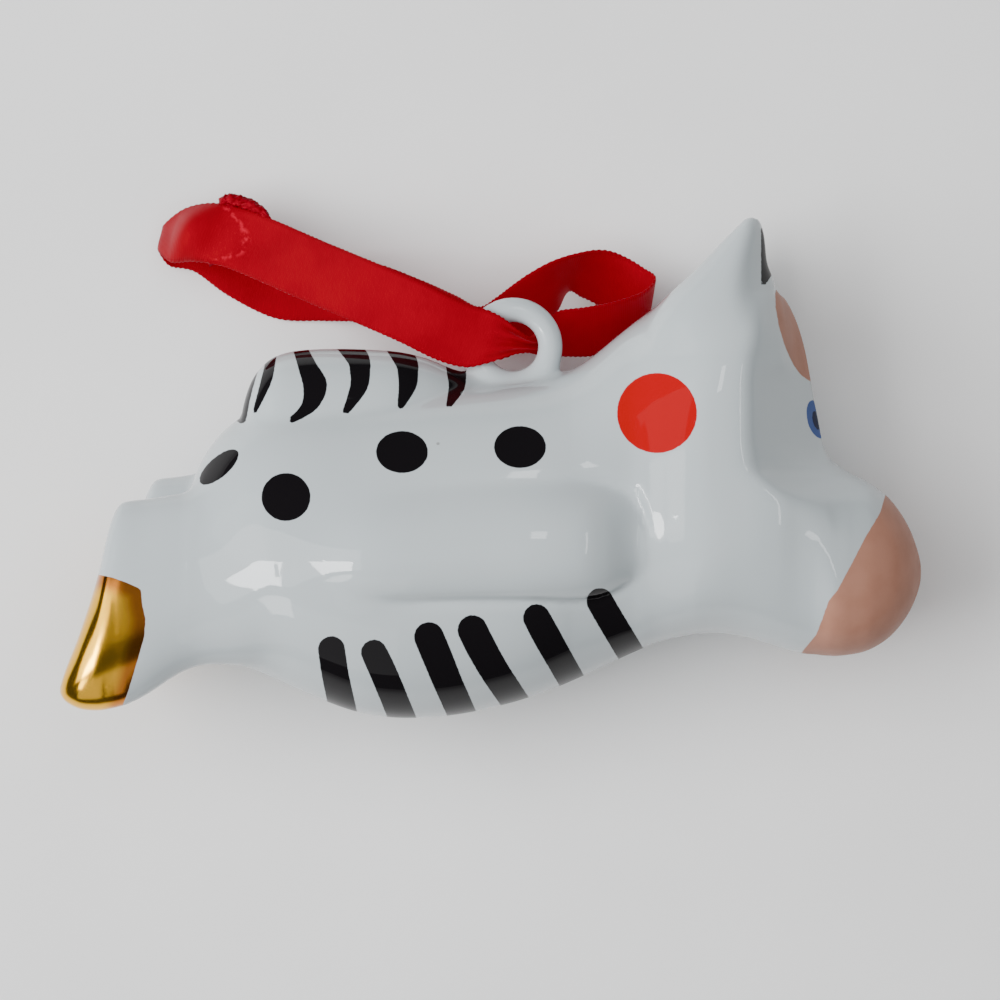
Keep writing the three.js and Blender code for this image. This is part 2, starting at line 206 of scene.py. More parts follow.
route = curve_through(loop_rows, ROUTE_STEPS, closed=True)
route[:, 2] -= SHIFT[2]  # the rows give heights above the table
step_lengths = np.linalg.norm(np.diff(route[:, :3], axis=0), axis=1)
travelled = np.concatenate([[0], np.cumsum(step_lengths)])
print("ribbon round the loop, mm:", travelled[-1].round(1))

# %% Ribbon relief
SEAM_ROW, SEAM_SLANT, SEAM_BOW = 5.53, 0.26, 1.08
GATHER_ROWS, GATHER_BELOW = (27.5, 29.5), 0.96
PLEATS, PLEAT_DEPTH = 2.5, 0.55
DISH_ROW, DISH_LENGTH, DISH_DEPTH = 7.3, 0.75, 1.5
CRINKLE_LENGTH, CRINKLE_DEPTH = 0.3, 0.1
CRINKLE_ACROSS, CRINKLE_ALONG = (19, 13), (31, 27)
EDGE_WAVES, EDGE_WAVE_DEPTH = 12, 0.1
BAND_WAVES, BAND_WAVE_SLANT, BAND_WAVE_DEPTH = 8, 2.4, 0.05


def route_frame(table):
    """Middle, line across and outward face of the ribbon along its route: the line across comes
    from heading and tilt, the face is the cross product of the way along with it."""
    middle = table[:, :3]
    heading, tilt = np.radians(table[:, 3]), np.radians(table[:, 4])
    level = np.cos(tilt)
    across = np.stack([np.cos(heading) * level, np.sin(heading) * level, np.sin(tilt)], 1)
    way = np.roll(middle, -1, 0) - np.roll(middle, 1, 0)
    face = np.cross(way, across)
    return middle, across, face / np.linalg.norm(face, axis=1)[:, None]


def seam_row(v):
    """Row of the route where the puckered seam crosses the ribbon: a curve, square in v across."""
    return SEAM_ROW + SEAM_SLANT * v + SEAM_BOW * v ** 2


def ribbon_relief(along, v, width):
    """How far the ribbon's middle sheet leaves its flat band, in millimetres: cosine pleats that
    deepen as it narrows by the ring, a dish inside the fold, crinkles by the seam and slow waves
    of the edges and of the band, as functions of the row along the route and of v, from -1 to 1
    across."""
    narrowed = np.clip(GATHER_BELOW - width / RIBBON_WIDTH, 0, 1)
    gathered = narrowed * smooth_step(*GATHER_ROWS, along)
    pleats = PLEAT_DEPTH * gathered * np.cos(PLEATS * np.pi * v)
    dish = -DISH_DEPTH * np.exp(-((along - DISH_ROW) / DISH_LENGTH) ** 2) * (1 - v ** 2)
    near_seam = np.exp(-((along - seam_row(v)) / CRINKLE_LENGTH) ** 2)
    one_way = np.sin(CRINKLE_ACROSS[0] * v + CRINKLE_ALONG[0] * along)
    other_way = np.cos(CRINKLE_ACROSS[1] * v - CRINKLE_ALONG[1] * along)
    crinkle = CRINKLE_DEPTH * near_seam * one_way * other_way
    turn = 2 * np.pi * along / len(loop_rows)
    edge_wave = EDGE_WAVE_DEPTH * v ** 2 * np.sin(EDGE_WAVES * turn)
    band_wave = BAND_WAVE_DEPTH * np.sin(BAND_WAVES * turn + BAND_WAVE_SLANT * v)
    return pleats + dish + crinkle + (edge_wave + band_wave)


middle, across, face = route_frame(route)
print("way that the ribbon faces on the ring:", face[0].round(2))

# %% Ribbon mesh
ACROSS_STEPS = 24
EDGE_THINNING = 0.55
PICOT_PITCH, PICOT_DEPTH = 0.55, 0.045
along = np.arange(len(route)) / ROUTE_STEPS
v = np.linspace(-1, 1, ACROSS_STEPS + 1)
at_edge = np.abs(v) == 1
picot = PICOT_DEPTH * np.cos(2 * np.pi * travelled / PICOT_PITCH)[:, None] * at_edge
reach = 0.5 * route[:, 5:6] * v + picot * np.sign(v)
lift = ribbon_relief(along[:, None], v, route[:, 5:6])
edge = RIBBON_THICKNESS / 2 * np.where(at_edge, EDGE_THINNING, 1.0)
sheet = middle[:, None] + across[:, None] * reach[..., None] + face[:, None] * lift[..., None]
upper = sheet + face[:, None] * edge[:, None]
lower = sheet - face[:, None] * edge[:, None]
rings = np.concatenate([upper, lower[:, ::-1]], axis=1)
ring_count, ring_size = rings.shape[:2]


def tube_faces(count, size, closed):
    """Quads between neighbouring rings of equal size; the last ring joins the first if closed."""
    i = np.arange(count if closed else count - 1)[:, None]
    k = np.arange(size)[None]
    here, following, beside = i * size, (i + 1) % count * size, (k + 1) % size
    quads = np.stack([here + k, here + beside, following + beside, following + k], -1)
    return quads.reshape(-1, 4)


ribbon_quads = tube_faces(ring_count, ring_size, closed=True)
ribbon = add_mesh("satin_ribbon", to_table(rings.reshape(-1, 3)), ribbon_quads)
print("ribbon vertices:", len(ribbon.data.vertices))

# %% Measures kept on the ribbon
# length and width of the cloth in millimetres, for the weave
corner = ribbon_quads.ravel()
cloth_u = travelled[corner // ring_size]
seam_corner = (corner // ring_size == 0) & (np.repeat(ribbon_quads.max(1), 4) // ring_size > 1)
cloth_u = np.where(seam_corner, travelled[-1] + step_lengths[-1], cloth_u)
cloth_v = np.concatenate([v, v[::-1]])[corner % ring_size] * RIBBON_WIDTH / 2
ribbon_uv = ribbon.data.uv_layers.new(name="cloth")
ribbon_uv.data.foreach_set("uv", np.stack([cloth_u, cloth_v], 1).astype(np.float32).ravel())

# rows of the route from the puckered seam, for its puckers, their gloss and their painted
# highlight
from_seam = np.abs(along[:, None] - seam_row(np.concatenate([v, v[::-1]])))
seam_layer = ribbon.data.attributes.new("seam", "FLOAT", "POINT")
seam_layer.data.foreach_set("value", np.minimum(from_seam, 1).astype(np.float32).ravel())
print("cloth, mm:", cloth_u.max().round(1), "by", RIBBON_WIDTH)

# %% [markdown]
# The ribbon's two cut ends are lapped and sealed near the fold. On the real one this shows as a
# shiny puckered line that bows across the ribbon and ends in a frayed nub along its upper edge.
# It is a flat oval carried along that hooked line, roughened by seeded random swelling.

# %% Line of the sealed ends
# row of the route, place across from -1 to 1, half width and half thickness of the oval
JOIN_LINE = [
    [6.4, -0.95, 0.45, 0.12],
    [5.95, -0.5, 0.5, 0.14],
    [5.55, 0.05, 0.5, 0.14],
    [5.62, 0.4, 0.5, 0.14],
    [6.05, 0.72, 0.5, 0.16],
    [6.6, 0.96, 0.55, 0.25],
    [6.7, 1.12, 0.6, 0.35],
    [6.3, 1.2, 0.6, 0.4],
    [5.8, 1.16, 0.55, 0.38],
    [5.4, 1.05, 0.4, 0.25],
    [5.2, 0.99, 0.1, 0.08],
]
JOIN_STEPS, JOIN_STANDING = 10, 0.1
join_line = curve_through(JOIN_LINE, JOIN_STEPS)
join_index = (join_line[:, 0] * ROUTE_STEPS).round().astype(int)
join_v = join_line[:, 1]
join_half = route[join_index, 5] / 2
join_relief = ribbon_relief(join_line[:, 0], np.clip(join_v, -1, 1), 2 * join_half)
join_lift = JOIN_STANDING + join_relief
join_middle = (
    middle[join_index]
    + across[join_index] * (join_v * join_half)[:, None]
    + face[join_index] * join_lift[:, None]
)
join_face = face[join_index]
join_side = np.cross(np.gradient(join_middle, axis=0), join_face)
join_side /= np.linalg.norm(join_side, axis=1)[:, None]
print("sealed line, rows:", len(join_line))

# %% Sealed ends as a closed tube
JOIN_AROUND = 28
SWELLING_SEED, SWELLING_RANGE = 4, (0.7, 1.3)
join_angle = np.linspace(0, 2 * np.pi, JOIN_AROUND, endpoint=False)
draws = np.random.default_rng(SWELLING_SEED)
swelling = draws.uniform(*SWELLING_RANGE, (len(join_line), len(join_angle)))
join_rings = (
    join_middle[:, None]
    + join_side[:, None] * (join_line[:, 2:3] * swelling * np.cos(join_angle))[..., None]
    + join_face[:, None] * (join_line[:, 3:4] * swelling * np.sin(join_angle))[..., None]
)
join_count, join_size = join_rings.shape[:2]
join_faces = tube_faces(join_count, join_size, closed=False)
join_ends = np.concatenate([join_rings[:1].mean(1), join_rings[-1:].mean(1)])
k = np.arange(join_size)
first, last = join_count * join_size, join_count * join_size + 1
cap_low = np.stack([np.full(join_size, first), (k + 1) % join_size, k], 1)
cap_high = np.stack([np.full(join_size, last), k, (k + 1) % join_size], 1)
cap_high[:, 1:] += (join_count - 1) * join_size
join_halves = [join_faces[:, [0, 1, 2]], join_faces[:, [0, 2, 3]]]
join_triangles = np.concatenate([*join_halves, cap_low, cap_high])
join_points = np.concatenate([join_rings.reshape(-1, 3), join_ends])
sealed_ends = add_mesh("sealed_ends", to_table(join_points), join_triangles)
print("sealed ends vertices:", len(sealed_ends.data.vertices))

# %% [markdown]
# ## The porcelain as a field
# The castings flow into each other under the glaze, with a soft fillet at every seam. A field
# does that well: each casting is a function that is negative inside and grows with distance
# outside, two of them are joined by a smooth minimum, and the skin is where the field is zero.
# Each casting is lofted through rows of its side outline, with superellipse sections. A row holds
# a station, the two edges of the outline there and the half width; stations run along x, or up
# the ear. Rows drawn one by one leave small waves, which a glaze would show as kinks in its
# highlights, so the long castings are eased.

# %% Outlines of the castings
BODY_ROWS = [
    [-31.2, -9.25, -14.25, 0.6],
    [-30.7, -5.45, -17.25, 3.8],
    [-29.5, -1.0, -19.05, 6.2],
    [-27.5, 2.75, -19.35, 8.0],
    [-25.0, 5.1, -19.65, 9.6],
    [-22.0, 6.2, -20.85, 10.8],
    [-18.0, 6.75, -22.65, 11.7],
    [-13.0, 7.15, -24.55, 12.2],
    [-8.0, 7.55, -25.05, 12.4],
    [-3.0, 7.95, -24.65, 12.4],
    [2.0, 8.25, -23.55, 12.3],
    [6.0, 8.75, -22.25, 12.0],
    [9.0, 10.15, -20.95, 11.3],
    [13.0, 13.35, -19.05, 11.0],
    [15.0, 14.9, -18.15, 11.35],
    [17.0, 16.25, -17.35, 12.15],
    [21.0, 18.05, -16.55, 13.75],
    [24.5, 18.85, -16.75, 13.85],
    [27.5, 18.65, -17.55, 13.3],
    [29.7, 16.45, -18.25, 12.5],
    [31.2, 12.55, -18.55, 12.0],
    [32.4, 6.25, -18.65, 11.6],
    [33.4, 1.75, -18.75, 11.3],
    [35.0, -0.05, -18.75, 10.8],
    [37.5, -1.35, -18.25, 9.8],
    [39.8, -3.15, -16.85, 8.2],
    [41.6, -5.75, -14.65, 5.9],
    [42.7, -8.55, -12.25, 2.8],
    [43.0, -10.05, -10.65, 0.5],
]
CREST_ROWS = [
    [-24.9, 3.6, 1.0, 0.8],
    [-24.5, 6.6, 0.0, 3.2],
    [-23.4, 9.3, -0.8, 4.8],
    [-21.4, 11.1, -1.0, 5.9],
    [-18.5, 11.75, -1.0, 6.3],
    [-14.0, 11.85, -1.0, 6.3],
    [-9.5, 11.6, -0.5, 5.9],
    [-6.5, 10.95, 0.2, 5.0],
    [-4.0, 9.95, 1.2, 3.9],
    [-1.5, 8.9, 2.5, 2.5],
    [0.5, 7.8, 3.5, 1.0],
]
FORELEG_ROWS = [
    [-20.5, -9.3, -10.3, 0.3],
    [-18.8, -8.2, -11.4, 1.0],
    [-16.4, -6.1, -12.6, 2.7],
    [-12.8, -4.0, -13.9, 5.0],
    [-8.5, -3.0, -14.2, 5.7],
    [-5.0, -2.5, -14.2, 5.8],
    [0.0, -2.1, -14.0, 5.85],
    [5.0, -2.0, -13.7, 5.95],
    [8.5, -2.1, -13.35, 5.65],
    [11.0, -2.4, -12.9, 4.75],
    [13.0, -3.2, -12.0, 3.4],
    [14.6, -4.9, -10.3, 2.0],
    [15.7, -7.1, -8.3, 0.5],
]
HIND_LEG_ROWS = [
    [-42.35, -21.65, -22.35, 0.4],
    [-41.75, -19.85, -23.15, 1.7],
    [-40.35, -16.25, -23.85, 2.8],
    [-38.65, -10.95, -24.0, 3.5],
    [-37.55, -6.25, -23.85, 3.8],
    [-36.65, -3.95, -23.65, 3.9],
    [-35.4, -3.3, -23.25, 4.0],
    [-33.0, -3.05, -22.0, 4.1],
    [-29.7, -2.45, -19.6, 4.25],
    [-27.0, -2.5, -19.3, 4.45],
    [-24.0, -4.0, -19.2, 4.6],
    [-21.0, -5.5, -18.0, 4.0],
    [-18.5, -9.0, -13.0, 0.6],
]
EAR_ROWS = [
    [10.5, 28.0, 16.5, 3.0],
    [13.4, 28.4, 15.9, 4.6],
    [16.4, 27.9, 17.4, 4.3],
    [19.4, 27.3, 20.3, 3.4],
    [21.9, 27.15, 22.6, 2.4],
    [23.5, 26.85, 24.2, 1.6],
    [24.2, 26.5, 24.95, 0.9],
    [24.45, 26.1, 25.5, 0.4],
]
print("rows in the body's outline:", len(BODY_ROWS))

# %% Field of one casting
SECTION_POWER = 2.2
TABLE_STEPS = 40
STATION_NUDGE, TINY = 1e-7, 1e-9
LEAN = 1.2
FILLET_SPAN = 1.5
EASE_STEP, EASE_WIDTH, EASE_BLEND = 0.1, 1.6, 5.0


def smooth_min(a, b, radius):
    """The smaller of two fields, with a fillet: min(a, b) less the cube of h times radius / 4,
    where h falls from 1 to 0 as the fields part by FILLET_SPAN times the radius. The cube lets
    the fillet start so gently that it shows no line in the glaze."""
    h = np.maximum(1 - np.abs(a - b) / (FILLET_SPAN * radius), 0)
    return np.minimum(a, b) - h ** 3 * radius / 4


def smooth_max(a, b, radius):
    """The larger of two fields, with a rounded edge."""
    return -smooth_min(-a, -b, radius)


def eased(at, column, stretch):
    """A column of a loft's table with its small waves taken out along a stretch of stations: the
    mean of the column under a bell curve, blended in by a smooth step at each end."""
    low, high = stretch
    fine = np.arange(at[0], at[-1], EASE_STEP)
    reach = int(3 * EASE_WIDTH / EASE_STEP)
    bell = np.exp(-0.5 * (np.arange(-reach, reach + 1) * EASE_STEP / EASE_WIDTH) ** 2)
    padded = np.pad(np.interp(fine, at, column), reach, mode="edge")
    mean = np.convolve(padded, bell / bell.sum(), mode="valid")
    share = smooth_step(low, low + EASE_BLEND, at) * (1 - smooth_step(high - EASE_BLEND, high, at))
    return column + share * (np.interp(at, fine, mean) - column)


def loft_field(station, side, depth, rows, power=SECTION_POWER, stretch=None):
    """About the distance to a casting lofted along its stations. With u and w the offsets from the
    section's middle as shares of its reach and half width, r = (|u|^p + |w|^p)^(1/p) is 1 on the
    skin, so (r - 1) over the length of r's gradient is the distance to first order. The part of
    the gradient along the stations is taken at the skin, and held below LEAN times the rest."""
    table = curve_through(rows, TABLE_STEPS)
    at = np.maximum.accumulate(table[:, 0]) + STATION_NUDGE * np.arange(len(table))
    columns = [(table[:, 1] + table[:, 2]) / 2, np.abs(table[:, 1] - table[:, 2]) / 2, table[:, 3]]
    if stretch:
        columns = [eased(at, column, stretch) for column in columns]
    inside = np.clip(station, at[0], at[-1])
    mid, reach, half = (np.interp(inside, at, column) for column in columns)
    slopes = (np.gradient(column, at) for column in columns)
    mid_slope, reach_slope, half_slope = (np.interp(inside, at, slope) for slope in slopes)
    u, w = (side - mid) / reach, depth / half
    big_u, big_w = np.abs(u) + TINY, np.abs(w) + TINY
    r = (big_u ** power + big_w ** power) ** (1 / power)
    by_u = np.sign(u) * (big_u / r) ** (power - 1)
    by_w = np.sign(w) * (big_w / r) ** (power - 1)
    by_side = by_u * (mid_slope + u / r * reach_slope) / reach
    by_station = by_side + by_w * w / r * half_slope / half
    in_section = np.sqrt((by_u / reach) ** 2 + (by_w / half) ** 2)
    lean = np.minimum(np.abs(by_station) / in_section, LEAN)
    distance = (r - 1) / (in_section * np.sqrt(1 + lean ** 2))
    past_end = np.maximum(at[0] - station, station - at[-1])
    beyond = np.hypot(np.maximum(distance, 0), past_end)
    return np.where(past_end > 0, beyond, np.maximum(distance, past_end))


# %% [markdown]
# ## The head
# The head is less round than the body. A flat cheek meets the slanting face in a crisp ridge that
# runs from the ear tip down past the eye and turns along the side of the nose. The table gives,
# for some heights, where the ridge is, where the front of the face is and the half width left
# there. Between the two the width falls in a straight line at the brow, and in a hollow curve
# along the nose, which is steep beside the ridge and level by the muzzle.

# %% Field of the head's flat cheek and slanting face
CHEEK_WIDTH = 13.75
RIDGE_SOFTNESS = 1.1
NOSE_TO_BROW = (-2.5, 1.5)
FACE_STEPS = 8
FACE_ROWS = [
    [-30.0, 56.0, 66.0, 13.0],
    [-14.0, 39.6, 46.0, 12.0],
    [-10.0, 35.4, 43.5, 11.0],
    [-5.75, 31.0, 41.8, 9.2],
    [-3.15, 28.3, 40.0, 8.0],
    [-1.35, 26.4, 37.7, 5.6],
    [-0.05, 25.3, 35.3, 3.8],
    [1.75, 24.9, 33.7, 2.4],
    [6.25, 24.9, 32.7, 2.0],
    [12.55, 24.8, 31.5, 2.0],
    [16.45, 24.7, 30.0, 2.0],
    [18.65, 24.6, 28.6, 2.0],
    [30.0, 24.6, 28.6, 2.0],
]


def face_field(x, y, width):
    """Distance outside the cheek and face: width less the width left there, over the length of its
    gradient. The way past the ridge is 0.5 (d + sqrt(d^2 + softness^2)) of the offset d from it.
    As a share t of the way to the front, it takes t (1 + k) - k t^2 of the fall off the cheek,
    where k is 0 at the brow and 1 along the nose."""
    table = curve_through(FACE_ROWS, FACE_STEPS)
    ridge, front, left = (np.interp(y, table[:, 0], column) for column in table.T[1:])
    fall, span = CHEEK_WIDTH - left, front - ridge
    offset = x - ridge
    root = np.sqrt(offset ** 2 + RIDGE_SOFTNESS ** 2)
    t = np.minimum(0.5 * (offset + root) / span, 1)
    hollow = 1 - smooth_step(*NOSE_TO_BROW, y)
    slope = fall / span * (1 + hollow - 2 * hollow * t) * 0.5 * (1 + offset / root)
    return (width - CHEEK_WIDTH + fall * t * (1 + hollow - hollow * t)) / np.sqrt(1 + slope ** 2)


# %% [markdown]
# ## Ears and forelegs
# An ear is a lofted horn with its front planed off, from the same ridge that bounds the cheek. A
# foreleg lies along the flank. On the real one the glaze has run into its seam: there is a wide
# soft fillet at the rear, a shallow valley above and a fine groove below, where the seam is crisp.
# Each is one more term of the field, so none needs a mesh of its own.

# %% Fields of an ear's front and of a foreleg's seam
EAR_RIDGE_HEIGHTS, EAR_RIDGE = [10, 17, 23], [24.7, 24.8, 26.2]
EAR_ROOT, EAR_ROOT_WIDTH = 13, 11.9
EAR_TAPER, EAR_SLANT, EAR_STEEPNESS = 0.39, 1.2, 1.5
UPPER_SIDE, VALLEY_START, VALLEY_END = (-8, -4.5), (-20, -2), (6, 12)
VALLEY_DEPTH, END_VALLEY_DEPTH = 0.3, 0.6
VALLEY_OFFSET, VALLEY_WIDTH = 1.0, 0.8
CRISP_START = (-16, -4)
GROOVE_TOP, GROOVE_DEPTH, GROOVE_WIDTH = (-12.5, -10.5), 0.22, 0.45
SEAM_HEIGHTS, SEAM_FILLETS, REAR_FILLET = [-12, -9, -3], [0.4, 1.4, 2.0], 1.2


def ear_front_field(x, y, width):
    """Distance outside the planed front of an ear: width less the width left there, which falls
    with the height above the ear's root and with the way past the ridge, over the steepness."""
    past_ridge = x - np.interp(y, EAR_RIDGE_HEIGHTS, EAR_RIDGE)
    left = EAR_ROOT_WIDTH - EAR_TAPER * (y - EAR_ROOT) - EAR_SLANT * past_ridge
    return (width - left) / EAR_STEEPNESS


def join_foreleg(body, leg, x, y):
    """The body and a foreleg joined. The valley is a bell curve of the distance to the leg, the
    groove one of the difference between both fields, and the fillet's radius goes by height."""
    upper_side = smooth_step(*UPPER_SIDE, y) * smooth_step(*VALLEY_START, x)
    valley = VALLEY_DEPTH + (END_VALLEY_DEPTH - VALLEY_DEPTH) * smooth_step(*VALLEY_END, x)
    body = body + valley * upper_side * np.exp(-((leg - VALLEY_OFFSET) / VALLEY_WIDTH) ** 2)
    crisp = smooth_step(*CRISP_START, x)
    groove = GROOVE_DEPTH * crisp * np.exp(-((leg - body) / GROOVE_WIDTH) ** 2)
    groove = groove * (1 - smooth_step(*GROOVE_TOP, y))
    fillet = np.interp(y, SEAM_HEIGHTS, SEAM_FILLETS) + REAR_FILLET * (1 - crisp)
    return smooth_min(body, leg, fillet) + groove


# %% Field of the whole figure
FORELEG_SPREAD = 8.35
EAR_SPREAD = 7.0
HIND_LEG_SPREAD = 4.6
LEFT_HIND_LEG_SHIFT = np.array([2.4, 2.3])
RING_CENTRE = np.array([2.35, 12.09])
RING_RADIUS = 3.68
RING_WIRE = 1.22
VENT = np.array([-21.0, -3.0])
VENT_RADIUS = 1.5
VENT_DEPTH = 8
TABLE_DEPTH = SHIFT[2]
POWER_STATIONS = [-31, 8, 20, 37, 43]
POWERS = [2.2, 2.2, 2.7, 2.7, 2.3]
BODY_EASED, FORELEG_EASED, HIND_LEG_EASED = (-29, 12), (-30, 10), (-36, -14)
NOSE_ROUNDING = 0.6
HEAD_START = (15, 22)
FACE_EDGE, CUT_EDGE = 1.0, 0.5
CREST_FILLET, EAR_FILLET, HIND_LEG_FILLET, RING_FILLET = 1.1, 2.6, 2.0, 1.6


def figure_field(x, y, z):
    """The whole figure: body and head, then crest, ears, legs and ring joined by smooth minima,
    less the vent, and flat where it lies on the table."""
    width = np.sqrt(z * z + NOSE_ROUNDING)
    power = np.interp(x, POWER_STATIONS, POWERS)
    body = loft_field(x, y, z, BODY_ROWS, power, BODY_EASED)
    head_share = smooth_step(*HEAD_START, x)
    face = face_field(x, y, width)
    body = body + head_share * (smooth_max(body, face, FACE_EDGE) - body)
    crest = loft_field(x, y, z, CREST_ROWS)
    result = smooth_min(body, crest, CREST_FILLET)
    for side in (1, -1):
        ear = loft_field(y, x, z - side * EAR_SPREAD, EAR_ROWS)
        ear = smooth_max(ear, ear_front_field(x, y, side * z), FACE_EDGE)
        result = smooth_min(result, ear, EAR_FILLET)
        leg_z = z - side * FORELEG_SPREAD
        leg = loft_field(x, y, leg_z, FORELEG_ROWS, stretch=FORELEG_EASED)
        result = join_foreleg(result, leg, x, y)
        forward, up = LEFT_HIND_LEG_SHIFT if side < 0 else (0, 0)
        hind_z = z - side * HIND_LEG_SPREAD
        hind = loft_field(x - forward, y - up, hind_z, HIND_LEG_ROWS, stretch=HIND_LEG_EASED)
        result = smooth_min(result, hind, HIND_LEG_FILLET)
    round_ring = np.hypot(x - RING_CENTRE[0], y - RING_CENTRE[1]) - RING_RADIUS
    ring = np.hypot(round_ring, z) - RING_WIRE
    result = smooth_min(result, ring, RING_FILLET)
    bore = np.hypot(x - VENT[0], y - VENT[1]) - VENT_RADIUS
    vent = np.maximum(bore, z + TABLE_DEPTH - VENT_DEPTH)
    result = smooth_max(result, -vent, CUT_EDGE)
    return smooth_max(result, -(z + TABLE_DEPTH), CUT_EDGE)


print("field on the ring's wire, mm:", figure_field(*RING_CENTRE + [0, RING_RADIUS], 0.0).round(2))

# %% [markdown]
# ## From field to skin
# The field is sampled on a grid. Surface nets put one vertex in each cell that the skin crosses
# and one quad round each crossed grid edge, which gives a closed mesh of even quads. The
# vertices are then moved onto the exact zero of the field along its gradient, and the gradient
# itself becomes the normal, so that the glaze reflects as smoothly as the formula is smooth.

# %% Surface nets
GRID_STEP = 0.46
GRID_LOW = np.array([-44.0, -26.6, -15.2])
GRID_HIGH = np.array([44.6, 26.2, 15.6])


def surface_nets(field, low, step):
    """Vertices and quads of the surface where a sampled field changes sign: each vertex is the
    mean of its cell's edge crossings, each quad joins the four cells round a crossed edge."""
    inside = field < 0
    cells = np.array(field.shape) - 1
    corners = np.array([[i, j, k] for i in (0, 1) for j in (0, 1) for k in (0, 1)])
    parts = [inside[i:i + cells[0], j:j + cells[1], k:k + cells[2]] for i, j, k in corners]
    filled = np.sum(parts, axis=0)
    mixed = (filled > 0) & (filled < 8)
    cell = np.argwhere(mixed)
    number = np.full(cells, -1)
    number[mixed] = np.arange(len(cell))
    values = np.stack([field[tuple((cell + corner).T)] for corner in corners], 1)
    total, count = np.zeros((len(cell), 3)), np.zeros(len(cell))
    pairs = [
        (a, b) for a in range(8) for b in range(a + 1, 8)
        if np.abs(corners[a] - corners[b]).sum() == 1
    ]
    for a, b in pairs:
        crossed = (values[:, a] < 0) != (values[:, b] < 0)
        share = np.where(crossed, values[:, a] / (values[:, a] - values[:, b] + ~crossed), 0)
        total += crossed[:, None] * (corners[a] + share[:, None] * (corners[b] - corners[a]))
        count += crossed
    vertices = low + step * (cell + total / count[:, None])
    quads = []
    for axis in range(3):
        beside, above = np.eye(3, dtype=int)[[(axis + 1) % 3, (axis + 2) % 3]]
        below = np.take(inside, range(cells[axis]), axis)
        changed = np.argwhere(below != np.take(inside, range(1, cells[axis] + 1), axis))
        around = [changed, changed - beside, changed - beside - above, changed - above]
        quad = np.stack([number[tuple(place.T)] for place in around], 1)
        flip = ~below[tuple(changed.T)]
        quad[flip] = quad[flip][:, ::-1]
        quads.append(quad)
    return vertices, np.concatenate(quads)


axes = [np.arange(low, high, GRID_STEP) for low, high in zip(GRID_LOW, GRID_HIGH)]
grid = figure_field(axes[0][:, None, None], axes[1][None, :, None], axes[2][None, None, :])
skin_points, skin_quads = surface_nets(grid, GRID_LOW, GRID_STEP)
print("grid:", grid.shape, "skin vertices:", len(skin_points), "quads:", len(skin_quads))

# %% Settle the vertices on the skin
GRADIENT_STEP = 0.02
SETTLE_ROUNDS = 4
LEAST_STEEPNESS = 0.05
LONGEST_MOVE = 0.2


def gradient(points):
    """Gradient of the figure's field by central differences along x, y and z."""
    steps = GRADIENT_STEP * np.eye(3)
    sides = [figure_field(*(points + s).T) - figure_field(*(points - s).T) for s in steps]
    return np.stack(sides, 1) / (2 * GRADIENT_STEP)


for _ in range(SETTLE_ROUNDS):
    slope = gradient(skin_points)
    steepness = np.maximum((slope ** 2).sum(1), LEAST_STEEPNESS)
    move = np.clip(figure_field(*skin_points.T) / steepness, -LONGEST_MOVE, LONGEST_MOVE)
    skin_points = skin_points - move[:, None] * slope
skin_normals = gradient(skin_points)
skin_normals /= np.linalg.norm(skin_normals, axis=1)[:, None]
print("largest field left, mm:", np.abs(figure_field(*skin_points.T)).max().round(3))

skin = add_mesh("glazed_figure", to_table(skin_points), skin_quads)
skin.data.normals_split_custom_set_from_vertices(skin_normals.tolist())

# %% [markdown]
# ## Fired colours
# The colours are painted on by hand and fired: black dots and stripes, a red spot, a peach
# muzzle and brow, blue eyes and hooves in lustre gold. Each mark is drawn as a signed distance,
# in millimetres, positive inside the mark, and kept on the vertices. A shader can then cut a
# sharp edge at zero, much finer than the mesh. The marks are laid out as they are seen from the
# camera, and mirrored to the hidden flank.

# %% Mark helpers
STROKE_STEPS = 6


def as_seen(points):
    """x and y of points of the skin as seen from the camera and scaled to the midplane: offsets
    from the view's centre times distance over distance less height, the same on both flanks."""
    nearer = VIEW_DISTANCE / (VIEW_DISTANCE - np.abs(points[:, 2]))
    return VIEW_CENTRE[:2] + (points[:, :2] - VIEW_CENTRE[:2]) * nearer[:, None]


def oval(at, centre, half_long, half_wide, turn=0):
    """Distance inside an ellipse, to first order: (1 - r) over the gradient's length, where r is
    the offset measured in half axes."""
    c, s = np.cos(np.radians(turn)), np.sin(np.radians(turn))
    offset = (at - centre) @ np.array([[c, -s], [s, c]])
    shares = offset / [half_long, half_wide]
    r = np.linalg.norm(shares, axis=1) + TINY
    return (1 - r) * r / np.linalg.norm(shares / [half_long, half_wide], axis=1)


def brush_stroke(at, rows):
    """Distance inside a stroke whose rows give its middle and half width: the largest over short
    straight pieces of half width less distance to the piece."""
    line = curve_through(rows, STROKE_STEPS)
    start, end = line[:-1], line[1:]
    way = end[:, :2] - start[:, :2]
    offset = at[:, None] - start[None, :, :2]
    share = np.clip((offset * way).sum(2) / (way ** 2).sum(1), 0, 1)
    distance = np.linalg.norm(offset - share[..., None] * way, axis=2)
    half = start[:, 2] + share * (end[:, 2] - start[:, 2])
    return (half - distance).max(1)


